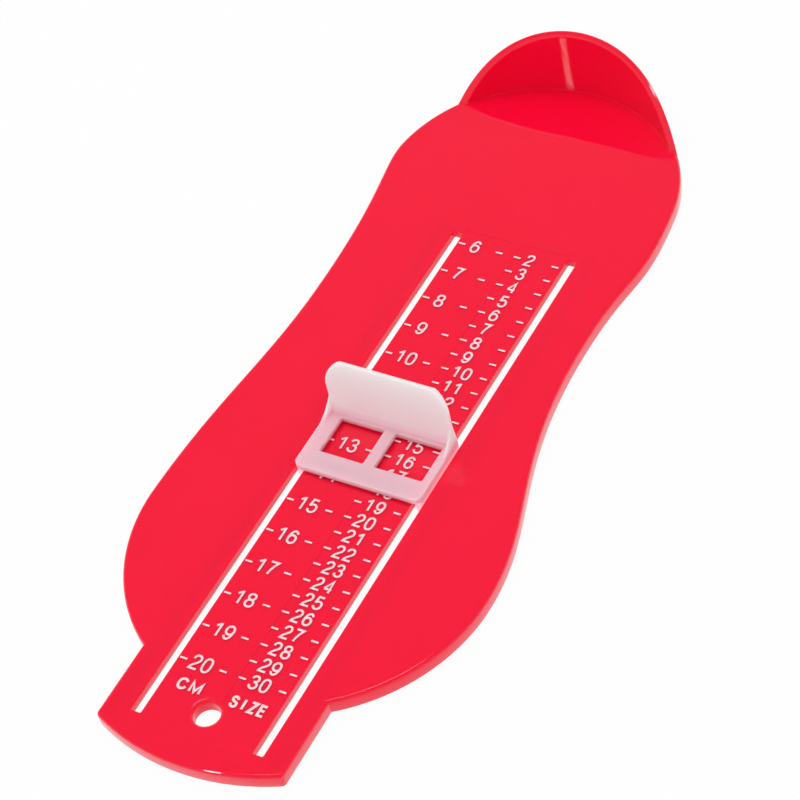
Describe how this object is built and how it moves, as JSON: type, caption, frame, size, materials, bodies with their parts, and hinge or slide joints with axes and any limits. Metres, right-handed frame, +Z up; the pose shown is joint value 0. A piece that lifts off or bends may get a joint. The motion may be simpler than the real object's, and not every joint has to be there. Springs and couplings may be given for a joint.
{
  "type": "foot measuring device",
  "caption": "Foot-shaped plate with a heel stop and a raised scale; a slider with a toe stop and reading windows runs in its slots.",
  "frame": {"origin": "middle of the bounding box, on the surface that the gauge lies on", "axes": "+Y along the foot from toes to heel, +X to the right seen from above with the heel away, +Z up"},
  "size_m": [0.0928, 0.2294, 0.0242],
  "materials": {
    "red_plastic": "glossy moulded, bright red all through",
    "frosted_plastic": "satin, milky and a little see-through, so it takes a pink tint from the plate",
    "scale_white": "thin white foil on the tops of the raised figures"
  },
  "bodies": {
    "plate": {"base_plate": "red_plastic"},
    "slide": {"slider": "frosted_plastic"}
  },
  "joints": [
    {"name": "slider_travel", "type": "slide", "parent": "plate", "child": "slide", "axis": [0, 1, 0], "range_m": [-0.0763, 0.0642]}
  ]
}
